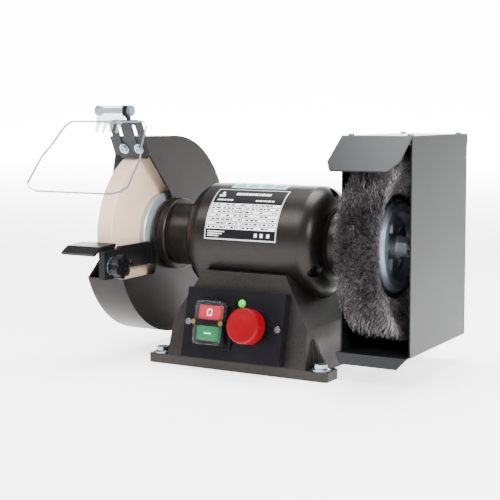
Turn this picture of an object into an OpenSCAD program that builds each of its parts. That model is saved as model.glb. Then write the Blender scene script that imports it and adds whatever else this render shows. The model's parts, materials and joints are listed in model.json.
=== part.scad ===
// Bench grinder with a grinding wheel on the left and a boxed wire brush on the right.
// X runs along the spindle, -Y is the operator's side, +Z is up.
// The origin is the middle of the foot, on the bench.

/* [Spindle] */
// Height of the spindle axis above the bench
axis_z = 134; // [132:1:140]
// Diameter of the shaft where the wheels sit
seat_d = 16; // [14:1:16]
// Diameter of the threaded shaft ends
thread_d = 12; // [10:1:12]

/* [Motor] */
// Radius of the motor barrel
barrel_r = 60.7; // [59:0.1:61]
// Length of the motor barrel
barrel_len = 124; // [120:1:128]
// Radius of the two necks
neck_r = 35; // [33:1:36]
// Length of the laminated stator
stator_len = 68; // [60:1:70]

/* [Pedestal] */
// Half width of the foot over its ears
ear_x = 109; // [107:1:112]
// Half depth of the foot
foot_y = 82; // [80:1:84]
// Thickness of the foot
foot_t = 10; // [9:1:11]
// Backward lean of the front and rear faces, in degrees
lean = 13.2; // [12:0.1:14]
// Thickness of the cast walls
wall = 5; // [4:0.5:6]

/* [Grinding wheel] */
// Diameter of the grinding wheel
wheel_d = 200; // [190:1:202]
// Thickness of the grinding wheel
wheel_t = 20; // [16:1:20]
// X of the wheel face nearest the motor
wheel_x = -145; // [-146:0.5:-144]
// Outer radius of the wheel guard
guard_r = 113; // [112:0.5:114]
// Thickness of the guard sheet
guard_t = 2.5; // [2:0.1:3]

/* [Wire brush] */
// Diameter over the bristles
brush_d = 198; // [186:1:198]
// Width over the bristle tips
brush_w = 50; // [44:1:52]
// X of the middle of the brush
brush_x = 145; // [144:0.5:146]
// Thickness of the brush box sheet
box_t = 1.5; // [1.2:0.1:2]

/* [Control panel] */
// Width of the control panel
panel_w = 119; // [114:1:122]
// Height of the control panel along its sloping face
panel_h = 75; // [73:1:77]
// Depth of the control panel
panel_d = 12; // [10:1:13]

/* [Tool rest] */
// Width of the tool rest
rest_w = 44; // [40:1:46]
// Gap between tool rest and wheel
rest_gap = 2.5; // [2:0.1:4]

/* [Eye shield] */
// Width of the clear shield at its widest
shield_w = 136; // [120:1:138]
// Length of the clear shield
shield_len = 108.5; // [96:0.5:110]
// Angle of the shield below the horizontal
shield_angle = 50; // [44:1:52]

/* [Hidden] */
$fn = 96;

// Small gap between pieces that move against each other
run_gap = 0.3;

// Pedestal outline, half widths and heights
top_x = 50;
top_z = 103;
shoulder_x = 58;
shoulder_z = 90;
waist_x = 81.5;
waist_z = 50;
foot_x = 84;
ear_depth = 28;
bolt_x = 97;
bolt_y = 71;
bolt_r = 4;
top_y = foot_y - (top_z - foot_t) * tan(lean);
saddle_r = barrel_r + wall;

// Control panel: the face starts above the foot, on the leaning front
panel_low = 0.8;
panel_mid = panel_low + panel_h / 2;
panel_skin = 2;
switch_x = -22.3;
switch_w = 47;
switch_h = 53;
boot_w = 34;
boot_h = 46;
boot_top = 14;
button_w = 26;
button_h = 15;
button_pitch = 22;
button_top = 12.2;
estop_x = 26;
estop_ring_r = 19.5;
estop_cap_r = 18.5;
estop_cap_low = 9;
estop_cap_top = 27;
lamp_x = 9;
lamp_up = 62;

// Motor
barrel_half = barrel_len / 2;
barrel_in = barrel_r - 3.7;
shoulder_r = 20;
screw_circle = 52;
screw_angles = [-30, 90, 210];
rotor_r = 29.6;
bearing_w = 12;
bearing_r = 20;
bore_r = 8.5;
left_bearing = -121;
right_bearing = 97;
left_neck_end = -126;
right_neck_end = 112;
ring_r = 41;

// Wheel guard
guard_out_x = -174;
guard_in_x = left_neck_end - run_gap;
cup_z = 92;
roof_z = axis_z + guard_r;
lip_lean = 25;
lip_top_y = -60;
lip_low_z = 226;
hub_plate_r = 42;
flange_r = 47;
flange_face = wheel_x + 7.5;
seat_r = seat_d / 2;
thread_r = thread_d / 2;

// Brush box
box_left = right_neck_end + run_gap;
box_right = 188.7;
box_front = -57;
box_back = 102;
box_low = 28.8;
box_high = 248.9;
visor_y = -102;
visor_z = 217;
visor_cut = 8;
lip_y = -67;
disc_r = 49;
wire_root_r = 36.5;

// Tool rest
arm_x = -137;
arm_t = 4;
arm_low = 103;
arm_high = 128;
arm_front = -129;
slot_r = 3.5;
slot_z = 108;
rest_y = -(wheel_d / 2 + rest_gap);
rest_z = 131;
leg_t = 4;
pivot_y = -116;

// Eye shield
bracket_x = -146;
bracket_w = 44;
bracket_len = 47;
bracket_foot = [-50.7, 223];
bracket_slot = 10;
bracket_screw_up = 12.5;
hinge_y = -75;
hinge_z = 275.5;
shield_x = -167;
shield_t = 2.5;
clamp_left = -176;
clamp_right = -143;
block_t = 2.6;
sheet_out = -8.5;
clamp_r = 5.6;
rib_pitch = 9.3;

// ---------- helpers ----------
module at_axis() {
    translate([0, 0, axis_z]) children();
}

// Round bar along X about Y = 0, Z = 0
module rod_x(x0, x1, r) {
    translate([x0, 0, 0]) rotate([0, 90, 0]) cylinder(h = x1 - x0, r = r);
}

// Hexagonal bar along X
module hex_x(x0, x1, flats) {
    translate([x0, 0, 0]) rotate([0, 90, 0]) cylinder(h = x1 - x0, r = flats / sqrt(3), $fn = 6);
}

// Turned solid about X from [x, radius] points
module turned_x(points) {
    rotate([0, 90, 0]) rotate_extrude() polygon([for (p = points) [p[1], p[0]]]);
}

// Sheet normal to X, from a flat outline in Y and Z
module plate_yz(x0, t) {
    translate([x0, 0, 0]) rotate([90, 0, 90]) linear_extrude(t) children();
}

// Sheet normal to Y, from a flat outline in X and Z
module plate_xz(y0, t) {
    translate([0, y0 + t, 0]) rotate([90, 0, 0]) linear_extrude(t) children();
}

// Block centred in X and Y with round upright corners
module round_block(w, d, h, r) {
    translate([-w / 2 + r, -d / 2, 0]) cube([w - 2 * r, d, h]);
    translate([-w / 2, -d / 2 + r, 0]) cube([w, d - 2 * r, h]);
    for (sx = [-1, 1], sy = [-1, 1])
        translate([sx * (w / 2 - r), sy * (d / 2 - r), 0]) cylinder(h = h, r = r);
}

// Sloping face of the pedestal: X across, Y up the slope, Z out of it
module on_slope(x = 0, up = 0, out = 0) {
    translate([0, -foot_y, foot_t]) rotate([90 - lean, 0, 0]) translate([x, up, out]) children();
}

// Point on a circle about the spindle, by angle above the front
module around_axis(r, angle) {
    at_axis() translate([0, -r * cos(angle), r * sin(angle)]) children();
}

// Lip plane: X across, Y up along the bracket, Z towards the operator
module on_bracket(x = 0, up = 0, out = 0) {
    translate([0, bracket_foot[0], bracket_foot[1]]) rotate([90 + lip_lean, 0, 0]) translate([x, up,
        out]) children();
}

// Shield plane: X across, Y down the shield, Z out of its upper face
module on_shield(x = 0, down = 0, out = 0) {
    translate([0, hinge_y, hinge_z]) rotate([shield_angle, 0, 0]) rotate([0, 0, 180]) translate([-x,
        down, out]) children();
}

// Screw with a round head and a shank, its head towards +Z and seated at Z = 0
module pan_screw(r, head_r, head_h, len) {
    difference() {
        cylinder(h = head_h, r = head_r);
        for (a = [0, 90]) rotate(a) translate([-head_r * 0.6, -r * 0.22,
            head_h * 0.45]) cube([head_r * 1.2, r * 0.44, head_h]);
    }
    translate([0, 0, -len]) cylinder(h = len + 0.01, r = r);
}

// Flanged hexagon bolt, head towards +Z and seated at Z = 0
module flange_bolt(r, flats, flange, len) {
    cylinder(h = 1.6, r = flange);
    translate([0, 0, 1.5]) cylinder(h = 1.2, r1 = flange - 0.6, r2 = flats / 2 + 0.6);
    translate([0, 0, 1.5]) cylinder(h = 5.2, r = flats / sqrt(3), $fn = 6);
    translate([0, 0, -len]) cylinder(h = len + 0.01, r = r);
}

// ---------- pedestal ----------
// Outer shape, or the same shape pulled in on every side
module pedestal_shape(inset = 0) {
    half = [[foot_x, foot_t], [waist_x, waist_z], [shoulder_x, shoulder_z], [top_x, top_z - inset]];
    right = [for (p = half) [p[0] - inset, p[1]]];
    left = [for (i = [len(half) - 1:-1:0]) [inset - half[i][0], half[i][1]]];
    low = -inset;
    intersection() {
        plate_xz(-foot_y - 1, 2 * foot_y + 2)
            polygon(concat([[inset - foot_x, low], [foot_x - inset, low]], right, left));
        plate_yz(-ear_x, 2 * ear_x) polygon([
            [inset - foot_y, low], [foot_y - inset, low], [foot_y - inset, foot_t],
            [top_y - inset, top_z], [inset - top_y, top_z], [inset - foot_y, foot_t]
        ]);
    }
}

module ears() {
    for (sx = [-1, 1], sy = [-1, 1]) {
        translate([sx * (ear_x - 17), sy * (foot_y - ear_depth / 2), 0]) round_block(34, ear_depth,
            foot_t, 4);
        scale([sx, 1, 1]) plate_xz(sy * (foot_y - ear_depth + 5) - 2, 4)
            polygon([[foot_x - 5, foot_t - 1], [ear_x - 10, foot_t - 1], [ear_x - 10, foot_t + 1],
                [foot_x - 1, 39], [foot_x - 5, 39]]);
    }
}

module pedestal() {
    color([0.36, 0.34, 0.32]) difference() {
        union() {
            difference() {
                union() {
                    pedestal_shape();
                    ears();
                }
                difference() {
                    pedestal_shape(wall);
                    at_axis() rod_x(-ear_x, ear_x, saddle_r);
                    for (sx = [-1, 1], sy = [-1, 1]) translate([sx * 73, sy * 71, 2]) cylinder(h = 16,
                        r = 7);
                }
            }
            translate([-50, foot_y - 10, 32]) rotate([-90, 0, 0]) cylinder(h = 8, r = 14);
        }
        at_axis() rod_x(-ear_x, ear_x, barrel_r);
        translate([-foot_x + 4, -foot_y + 4, -1]) cube([2 * foot_x - 8, 2 * foot_y - 8, 3]);
        for (sx = [-1, 1], sy = [-1, 1]) {
            translate([sx * bolt_x, sy * bolt_y, -1]) cylinder(h = foot_t + 2, r = bolt_r + 0.5);
            translate([sx * 73, sy * 71, 1]) cylinder(h = 12, r = 2);
        }
        on_slope(-46, 14, -8) cube([92, 48, 12]);
        for (sx = [-1, 1]) on_slope(sx * 54, panel_mid, -8) cylinder(h = 12, r = 2.1);
        translate([0, 0, axis_z - saddle_r - 2]) cylinder(h = 20, r = 8);
        translate([-50, foot_y - 22, 32]) rotate([-90, 0, 0]) cylinder(h = 30, r = 8);
    }
}

module base_plate() {
    color([0.3, 0.3, 0.31]) difference() {
        translate([-foot_x + 4.2, -foot_y + 4.2, 0]) cube([2 * foot_x - 8.4, 2 * foot_y - 8.4, 2]);
        for (sx = [-1, 1], sy = [-1, 1]) translate([sx * 73, sy * 71, -1]) cylinder(h = 4, r = 2.2);
        for (sx = [-1, 1], sy = [-1, 1]) translate([sx * 73, sy * 71, -1]) cylinder(h = 2.2, r = 4.3);
        for (x = [-36:12:36]) translate([x, -38, -1]) round_block(5, 26, 4, 2.4);
    }
}

module base_plate_screws() {
    color([0.7, 0.72, 0.75]) for (sx = [-1, 1], sy = [-1, 1])
        translate([sx * 73, sy * 71, 0.1]) {
            cylinder(h = 1.1, r = 4);
            cylinder(h = 11.9, r = 1.9);
        }
}

module foot_bolts() {
    color([0.72, 0.76, 0.8]) for (sx = [-1, 1], sy = [-1, 1])
        translate([sx * bolt_x, sy * bolt_y, foot_t]) flange_bolt(bolt_r, 13, 10.2, foot_t - 0.5);
}

// ---------- control panel ----------
module control_panel() {
    color([0.13, 0.13, 0.15]) on_slope(0, panel_mid) difference() {
        round_block(panel_w, panel_h, panel_d, 1.5);
        translate([0, 0, -1]) round_block(panel_w - 2 * panel_skin, panel_h - 2 * panel_skin,
            panel_d - panel_skin + 1, 1);
        translate([switch_x, 0, 0]) round_block(36, 44, panel_d + 1, 2);
        translate([estop_x, 0, 0]) cylinder(h = panel_d + 1, r = 11);
        translate([lamp_x, lamp_up - panel_mid, 0]) cylinder(h = panel_d + 1, r = 3.2);
        for (sx = [-1, 1]) translate([sx * 54, 0, 0]) cylinder(h = panel_d + 1, r = 2.2);
    }
}

module panel_screws() {
    color([0.75, 0.78, 0.82]) for (sx = [-1, 1])
        on_slope(sx * 54, panel_mid, panel_d) pan_screw(2, 3.4, 1.8, 18);
}

module switch_housing() {
    color([0.08, 0.08, 0.09]) on_slope(switch_x, panel_mid, panel_d) difference() {
        union() {
            round_block(switch_w, switch_h, 2, 4);
            round_block(boot_w, boot_h, 6, 4);
            translate([0, 0, -26]) round_block(35, 43, 27, 1.5);
            translate([0, 0, 5]) round_block(button_w, 3, 5, 1);
        }
        for (s = [-1, 1]) translate([0, s * button_pitch / 2, -8])
            round_block(button_w + 2 * run_gap, button_h + 2 * run_gap, 30, 1.2);
    }
}

// One square push button with rounded corners and a short guide
module push_button() {
    round_block(button_w, button_h, button_top, 1.2);
    translate([0, 0, -4]) round_block(button_w - 6, button_h - 5, 5, 1);
}

module stop_button() {
    color([0.85, 0.12, 0.2]) on_slope(switch_x, panel_mid + button_pitch / 2, panel_d) push_button();
}

module start_button() {
    color([0.1, 0.5, 0.3]) on_slope(switch_x, panel_mid - button_pitch / 2, panel_d) push_button();
}

module switch_boot() {
    color([0.75, 0.78, 0.8, 0.4]) on_slope(switch_x, panel_mid, panel_d) difference() {
        translate([0, 0, 6]) round_block(boot_w, boot_h, boot_top - 6, 5);
        translate([0, 0, 5]) round_block(boot_w - 2.4, boot_h - 2.4, boot_top - 6, 4);
        for (s = [-1, 1]) translate([s * 16.5, 0, 0]) cylinder(h = 20, r = 3);
    }
}

module switch_boot_bar() {
    color([0.15, 0.15, 0.16]) on_slope(switch_x, panel_mid, panel_d) difference() {
        union() {
            translate([0, 0, boot_top]) round_block(38, 4, 1.2, 1.5);
            for (s = [-1, 1]) translate([s * 16.5, 0, 6]) cylinder(h = boot_top - 6 + 0.5, r = 2.7);
        }
        for (s = [-1, 1]) translate([s * 16.5, 0, 5]) cylinder(h = 20, r = 1.5);
    }
}

module switch_screws() {
    color([0.78, 0.6, 0.35]) for (s = [-1, 1])
        on_slope(switch_x + s * 16.5, panel_mid, panel_d + boot_top + 1.2) pan_screw(1.5, 2.6, 1.2, 9);
}

module switch_contacts() {
    color([0.7, 0.5, 0.3]) on_slope(switch_x, panel_mid, panel_d - 26) for (x = [-12, -4, 4, 12],
        y = [-12, 12])
        translate([x - 1.5, y - 3, -6]) cube([3, 6, 6]);
}

module pilot_lamp() {
    color([0.3, 0.9, 0.25]) on_slope(lamp_x, lamp_up, panel_d) {
        cylinder(h = 1.5, r = 4.2);
        translate([0, 0, 1.4]) intersection() {
            translate([0, 0, -1.2]) sphere(r = 4.2);
            cylinder(h = 4, r = 4.2);
        }
        translate([0, 0, -11.5]) cylinder(h = 12, r = 3);
    }
}

module estop_collar() {
    color([0.08, 0.08, 0.09]) on_slope(estop_x, panel_mid, panel_d) difference() {
        union() {
            cylinder(h = 3, r = estop_ring_r);
            cylinder(h = 4.2, r = 13.5);
            translate([0, 0, -16]) cylinder(h = 17, r = 10.8);
            translate([0, 0, -panel_skin - 4]) cylinder(h = 4, r = 14, $fn = 6);
        }
        translate([0, 0, -20]) cylinder(h = 40, r = 6.05);
    }
}

module estop_stem() {
    color([0.2, 0.2, 0.22]) on_slope(estop_x, panel_mid, panel_d) {
        translate([0, 0, -18]) cylinder(h = 38, r = 5.8);
    }
}

module estop_cap() {
    color([0.84, 0.12, 0.14]) on_slope(estop_x, panel_mid, panel_d) difference() {
        rotate_extrude() polygon([
            [0, estop_cap_low], [15.5, estop_cap_low], [17.8, estop_cap_low], [estop_cap_r,
                estop_cap_low + 1],
            [estop_cap_r, estop_cap_top - 2.2], [17.9, estop_cap_top - 0.7], [16.6, estop_cap_top], [13,
                estop_cap_top - 0.2],
            [6, estop_cap_top - 0.9], [0, estop_cap_top - 1.1]
        ]);
        translate([0, 0, estop_cap_low - 1]) cylinder(h = 8, r = 15);
        cylinder(h = 20.4, r = 6.1);
    }
}

module estop_contacts() {
    color([0.55, 0.56, 0.5]) on_slope(estop_x, panel_mid, panel_d - 16) difference() {
        translate([0, 0, -22]) round_block(28, 34, 22, 1.5);
        translate([0, 0, -9]) cylinder(h = 20, r = 6.5);
    }
}

// ---------- wiring space ----------
module cable_gland() {
    color([0.1, 0.1, 0.1]) translate([-50, foot_y - 2, 32]) rotate([-90, 0, 0]) difference() {
        union() {
            cylinder(h = 5, r = 12.5, $fn = 6);
            translate([0, 0, 4.9]) cylinder(h = 9, r = 9.5);
            translate([0, 0, 9]) cylinder(h = 9, r = 12.2, $fn = 6);
            translate([0, 0, 17.9]) cylinder(h = 3, r1 = 9.6, r2 = 7.4);
            translate([0, 0, -14]) cylinder(h = 14.1, r = 7.9);
        }
        translate([0, 0, -20]) cylinder(h = 50, r = 4);
    }
}

module run_capacitor() {
    color([0.75, 0.77, 0.78]) translate([0, 36, 23]) {
        rod_x(-32, 30, 16);
        rod_x(29.9, 33, 13);
        for (s = [-1, 1]) translate([32, s * 5 - 1.5, -3]) cube([8, 3, 6]);
    }
}

module capacitor_clip() {
    color([0.6, 0.6, 0.62]) difference() {
        union() {
            translate([-12, 36, 23]) rotate([0, 90, 0]) cylinder(h = 18, r = 17.5);
            translate([-12, 24, 2]) cube([18, 24, 10]);
        }
        translate([0, 36, 23]) rod_x(-14, 10, 16);
        translate([-13, 30, 1.9]) cube([20, 12, 3]);
    }
}

module terminal_block() {
    color([0.85, 0.83, 0.75]) difference() {
        translate([-30, -10, 2]) cube([60, 20, 14]);
        for (x = [-24:8:24]) translate([x - 2.5, -11, 9]) cube([5, 7, 8]);
        for (x = [-24:8:24]) translate([x - 2.5, 4, 9]) cube([5, 7, 8]);
        for (x = [-24:8:24]) translate([x, 0, 10]) cylinder(h = 8, r = 1.6);
    }
}

// ---------- motor ----------
module motor_housing() {
    color([0.37, 0.35, 0.33]) difference() {
        union() {
            at_axis() difference() {
                rod_x(-barrel_half, barrel_half, barrel_r);
                rod_x(-barrel_half - 1, barrel_half + 1, barrel_in);
            }
            for (a = screw_angles, s = [-1, 1])
                around_axis(screw_circle, a) rod_x(min(s * 50, s * barrel_half), max(s * 50,
                    s * barrel_half), 5.5);
        }
        for (a = screw_angles) around_axis(screw_circle, a) rod_x(-barrel_half - 1, barrel_half + 1, 2.5);
        translate([0, 0, axis_z - saddle_r - 2]) cylinder(h = 20, r = 8);
    }
}

// Hollow end shield, barrel side at X = 0, neck towards +X
module end_shield(neck_end, bearing_x, ring) {
    difference() {
        union() {
            rotate([0, 90, 0]) rotate_extrude() union() {
                square([barrel_r - shoulder_r, shoulder_r]);
                square([barrel_r, 1]);
                intersection() {
                    translate([barrel_r - shoulder_r, 0]) circle(r = shoulder_r);
                    square([barrel_r + 1, shoulder_r + 1]);
                }
            }
            turned_x([[shoulder_r - 1, 0], [shoulder_r - 1, neck_r + 5], [shoulder_r + 2, neck_r + 2],
                [shoulder_r + 3, neck_r], [neck_end, neck_r], [neck_end, 0]]);
            if (ring > 0) turned_x([[neck_end - 10, 0], [neck_end - 10, ring - 1], [neck_end - 9, ring],
                [neck_end, ring], [neck_end, 0]]);
        }
        turned_x([[-1, 0], [-1, barrel_in], [4, barrel_in], [14, 44], [16, 30], [bearing_x - 2, 24],
            [bearing_x - 2, 17], [bearing_x - 0.01, 17], [bearing_x - 0.01, bearing_r],
                [bearing_x + bearing_w, bearing_r],
            [bearing_x + bearing_w, 14.5], [neck_end + 1, 14.5], [neck_end + 1, 0]]);
        for (a = screw_angles) {
            translate([0, -screw_circle * cos(a), screw_circle * sin(a)]) {
                rod_x(6, 40, 6.5);
                rod_x(-1, 10, 2.6);
            }
        }
    }
}

module left_end_shield() {
    color([0.37, 0.35, 0.33]) at_axis() difference() {
        translate([-barrel_half, 0, 0]) mirror([1, 0, 0])
            end_shield(-left_neck_end - barrel_half, -left_bearing - bearing_w - barrel_half, ring_r);
        for (a = [0:90:270]) translate([left_neck_end - 1, -36 * cos(a), 36 * sin(a)]) rod_x(0, 9, 2.1);
        for (z = [-24, -13]) translate([left_neck_end - 1, -30, z]) rod_x(0, 10, 1.9);
    }
}

module right_end_shield() {
    color([0.37, 0.35, 0.33]) at_axis() difference() {
        translate([barrel_half, 0, 0])
            end_shield(right_neck_end - barrel_half, right_bearing - barrel_half, 0);
        for (a = [45:90:315]) translate([right_neck_end - 9, -28 * cos(a), 28 * sin(a)]) rod_x(0, 10, 2.1);
    }
}

module end_shield_screws() {
    color([0.25, 0.25, 0.26]) for (a = screw_angles, s = [0, 1]) around_axis(screw_circle, a) mirror([s,
        0, 0]) {
        difference() {
            rod_x(barrel_half + 6, barrel_half + 11, 4.6);
            hex_x(barrel_half + 8, barrel_half + 12, 4);
        }
        rod_x(52, barrel_half + 6.1, 2.4);
    }
}

module stator_core() {
    half = stator_len / 2;
    color([0.5, 0.5, 0.52]) at_axis() difference() {
        rod_x(-half, half, barrel_in);
        rod_x(-half - 1, half + 1, rotor_r + 0.6);
        for (a = [0:15:345]) rotate([a, 0, 0]) translate([-half - 1, -2, rotor_r]) cube([stator_len + 2,
            4, 16]);
    }
}

module stator_windings() {
    half = stator_len / 2;
    color([0.72, 0.4, 0.18]) at_axis() for (s = [0, 1]) mirror([s, 0, 0])
        turned_x([[half, 33], [half, 50], [half + 4, 51], [half + 12, 49], [half + 14, 46],
            [half + 14, 38], [half + 11, 34], [half + 4, 32.5]]);
}

module rotor() {
    half = stator_len / 2;
    color([0.62, 0.63, 0.65]) at_axis() difference() {
        union() {
            rod_x(-half, half, rotor_r);
            rod_x(-half - 5, half + 5, 27);
            for (a = [0:40:320], s = [0, 1]) mirror([s, 0, 0]) rotate([a, 0, 0])
                translate([half + 4, -1.2, 17]) cube([8, 2.4, 10]);
        }
        rod_x(-half - 20, half + 20, 10.5);
    }
}

module spindle_shaft() {
    color([0.72, 0.72, 0.74]) at_axis() {
        turned_x([[-186, 0], [-186, thread_r - 1], [-185, thread_r], [-169, thread_r], [-169, seat_r],
            [-122.5, seat_r],
            [-122.5, bore_r], [-107, bore_r], [-107, 10.5], [95, 10.5], [95, bore_r], [110.5, bore_r],
                [110.5, seat_r],
            [152, seat_r], [152, thread_r], [167, thread_r], [168, thread_r - 1], [168, 0]]);
    }
}

module bearing_outer_rings() {
    color([0.8, 0.8, 0.82]) at_axis() for (x = [left_bearing, right_bearing]) difference() {
        rod_x(x, x + bearing_w, bearing_r);
        rod_x(x - 1, x + bearing_w + 1, 16.6);
    }
}

module bearing_balls() {
    color([0.85, 0.85, 0.87]) at_axis() for (x = [left_bearing,
        right_bearing]) translate([x + bearing_w / 2, 0, 0]) {
        for (a = [0:45:315]) rotate([a, 0, 0]) translate([0, 14, 0]) sphere(r = 2.3, $fn = 32);
        difference() {
            rod_x(-1.5, 1.5, 14.6);
            rod_x(-2, 2, 13.4);
        }
    }
}

module bearing_inner_rings() {
    color([0.8, 0.8, 0.82]) at_axis() for (x = [left_bearing, right_bearing]) difference() {
        rod_x(x, x + bearing_w, 11.3);
        rod_x(x - 1, x + bearing_w + 1, bore_r);
    }
}

// Thin curved plate stuck to the barrel between two angles above the front
module barrel_plate(x0, x1, a0, a1, t) {
    reach = barrel_r * 2;
    at_axis() intersection() {
        difference() {
            rod_x(x0, x1, barrel_r + t);
            rod_x(x0 - 1, x1 + 1, barrel_r);
        }
        plate_yz(x0, x1 - x0) polygon([
            [0, 0], [-reach * cos(a0), reach * sin(a0)],
            [-reach * cos((a0 + a1) / 2), reach * sin((a0 + a1) / 2)], [-reach * cos(a1), reach * sin(a1)]
        ]);
    }
}

module nameplate() {
    color([0.85, 0.85, 0.83]) barrel_plate(-49.7, 38.3, 3, 64.5, 0.5);
}

module info_sticker() {
    color([0.8, 0.88, 0.87]) barrel_plate(-38, 30, 69, 93, 0.25);
}

// ---------- grinding wheel side ----------
// Cuts that open the guard to the operator, in Y and Z
module front_opening() {
    polygon([
        [-guard_r * 2, cup_z], [-guard_r * 2, 300], [lip_y_at(300), 300], [lip_y_at(lip_low_z),
            lip_low_z], [lip_y_at(lip_low_z), cup_z]
    ]);
}

// Y of the leaning front lip at a height
function lip_y_at(z) = lip_top_y + (243 - z) * tan(lip_lean);

module wheel_guard() {
    inner_x = guard_in_x - guard_t;
    color([0.34, 0.32, 0.31]) difference() {
        union() {
            difference() {
                union() {
                    at_axis() rod_x(guard_out_x + guard_t, guard_in_x, guard_r);
                    plate_yz(guard_out_x + guard_t, guard_in_x - guard_out_x - guard_t)
                        polygon([[-80, axis_z], [0, axis_z], [0, roof_z], [-80, roof_z]]);
                }
                at_axis() rod_x(guard_out_x - 1, inner_x, guard_r - guard_t);
                plate_yz(guard_out_x - 1, inner_x - guard_out_x + 1)
                    polygon([[-81, axis_z - 1], [0, axis_z - 1], [0, roof_z - guard_t], [-81,
                        roof_z - guard_t]]);
                plate_yz(guard_out_x - 1, 60) front_opening();
                plate_yz(inner_x - 0.5, 10) polygon([
                    [-guard_r * 2, cup_z], [-44, cup_z], [-30, axis_z], [-8, 176], [-12, 184.5],
                        [lip_y_at(lip_low_z), lip_low_z],
                    [-guard_r * 2, lip_low_z]
                ]);
            }
            at_axis() rod_x(inner_x, guard_in_x, hub_plate_r);
            plate_yz(guard_out_x + guard_t, inner_x - guard_out_x - guard_t + 0.5) polygon([
                [lip_y_at(roof_z - 1), roof_z - 1], [lip_y_at(lip_low_z), lip_low_z],
                [lip_y_at(lip_low_z) + guard_t, lip_low_z], [lip_y_at(roof_z - 1) + guard_t, roof_z - 1]
            ]);
            for (a = [100, 190, 300]) around_axis(guard_r - 6, a) rod_x(guard_out_x + guard_t,
                guard_out_x + 16, 5);
        }
        at_axis() rod_x(-150, -100, 16);
        for (a = [100, 190, 300]) around_axis(guard_r - 6, a) rod_x(guard_out_x - 1, guard_out_x + 14, 1.9);
        for (a = [0:90:270]) around_axis(36, a) rod_x(inner_x - 1, guard_in_x + 1, 2.3);
        for (z = [-24, -13]) at_axis() translate([inner_x - 1, -30, z]) rod_x(0, 5, 2.1);
        for (s = [-1, 1]) on_bracket(bracket_x + s * bracket_slot, bracket_screw_up, -8) cylinder(h = 10,
            r = 2.1);
    }
}

module guard_cover() {
    color([0.34, 0.32, 0.31]) difference() {
        union() {
            intersection() {
                union() {
                    at_axis() rod_x(guard_out_x, guard_out_x + guard_t, guard_r);
                    plate_yz(guard_out_x, guard_t) polygon([[-80, axis_z], [0, axis_z], [0, roof_z],
                        [-80, roof_z]]);
                }
                plate_yz(guard_out_x, guard_t) polygon([
                    [-guard_r, cup_z], [-guard_r, 0], [guard_r + 1, 0], [guard_r + 1, 300],
                        [lip_y_at(300), 300],
                    [lip_y_at(lip_low_z), lip_low_z], [-60, 190], [-72, 120], [-103, cup_z + 1]
                ]);
            }
            at_axis() turned_x([[guard_out_x + 1, 0], [guard_out_x + 1, 46], [guard_out_x - 12, 44],
                [guard_out_x - 17, 40], [guard_out_x - 17, 0]]);
        }
        at_axis() turned_x([[guard_out_x + 9, 0], [guard_out_x + 9, 43.5], [guard_out_x - 10.5, 41.5],
            [guard_out_x - 14.5, 38], [guard_out_x - 14.5, 0]]);
        for (a = [100, 190, 300]) around_axis(guard_r - 6, a) rod_x(guard_out_x - 1, guard_out_x + 14, 2.3);
    }
}

module guard_screws() {
    color([0.72, 0.76, 0.8]) for (a = [100, 190, 300])
        around_axis(guard_r - 6, a) translate([guard_out_x, 0, 0]) rotate([0, -90, 0]) pan_screw(1.8, 4,
            2.4, 12);
}

module guard_mount_screws() {
    color([0.72, 0.76, 0.8]) for (a = [0:90:270])
        around_axis(36, a) translate([guard_in_x - guard_t, 0, 0]) rotate([0, -90, 0]) pan_screw(2, 3.6,
            2, 9);
}

module inner_flange() {
    color([0.75, 0.77, 0.79]) at_axis() difference() {
        turned_x([[-123, 0], [-123, 13], [flange_face, 14], [flange_face, 38], [flange_face - 0.5,
            flange_r - 1],
            [flange_face - 1.5, flange_r], [wheel_x, flange_r], [wheel_x, 38], [wheel_x + 2, 36],
                [wheel_x + 2, 0]]);
        rod_x(-160, -100, seat_r);
    }
}

module grinding_wheel() {
    color([0.88, 0.81, 0.72]) at_axis() difference() {
        turned_x([[wheel_x - wheel_t, 0], [wheel_x - wheel_t, wheel_d / 2 - 1], [wheel_x - wheel_t + 1,
            wheel_d / 2],
            [wheel_x - 1, wheel_d / 2], [wheel_x, wheel_d / 2 - 1], [wheel_x, 0]]);
        rod_x(-200, -100, seat_r);
    }
}

module wheel_blotters() {
    color([0.3, 0.42, 0.62]) at_axis() for (x = [wheel_x - wheel_t - 0.6, wheel_x]) difference() {
        rod_x(x, x + 0.6, x < wheel_x ? flange_r + 2 : 35.5);
        rod_x(x - 1, x + 2, seat_r);
    }
}

module outer_flange() {
    left = wheel_x - wheel_t - 0.6;
    color([0.75, 0.77, 0.79]) at_axis() difference() {
        turned_x([[left, 0], [left, flange_r - 1], [left - 1, flange_r - 1], [left - 4, flange_r - 6],
            [left - 4.4, 22], [left - 4.4, 0]]);
        rod_x(-200, -100, seat_r);
    }
}

module spindle_nuts() {
    color([0.76, 0.79, 0.82]) at_axis() {
        difference() {
            union() {
                rod_x(-171.5, -170, 12);
                hex_x(-181, -171.5, 19);
            }
            rod_x(-190, -160, thread_r);
        }
        difference() {
            union() {
                rod_x(152.3, 154, 12);
                hex_x(154, 164, 18);
            }
            rod_x(140, 180, thread_r);
        }
    }
}

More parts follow.
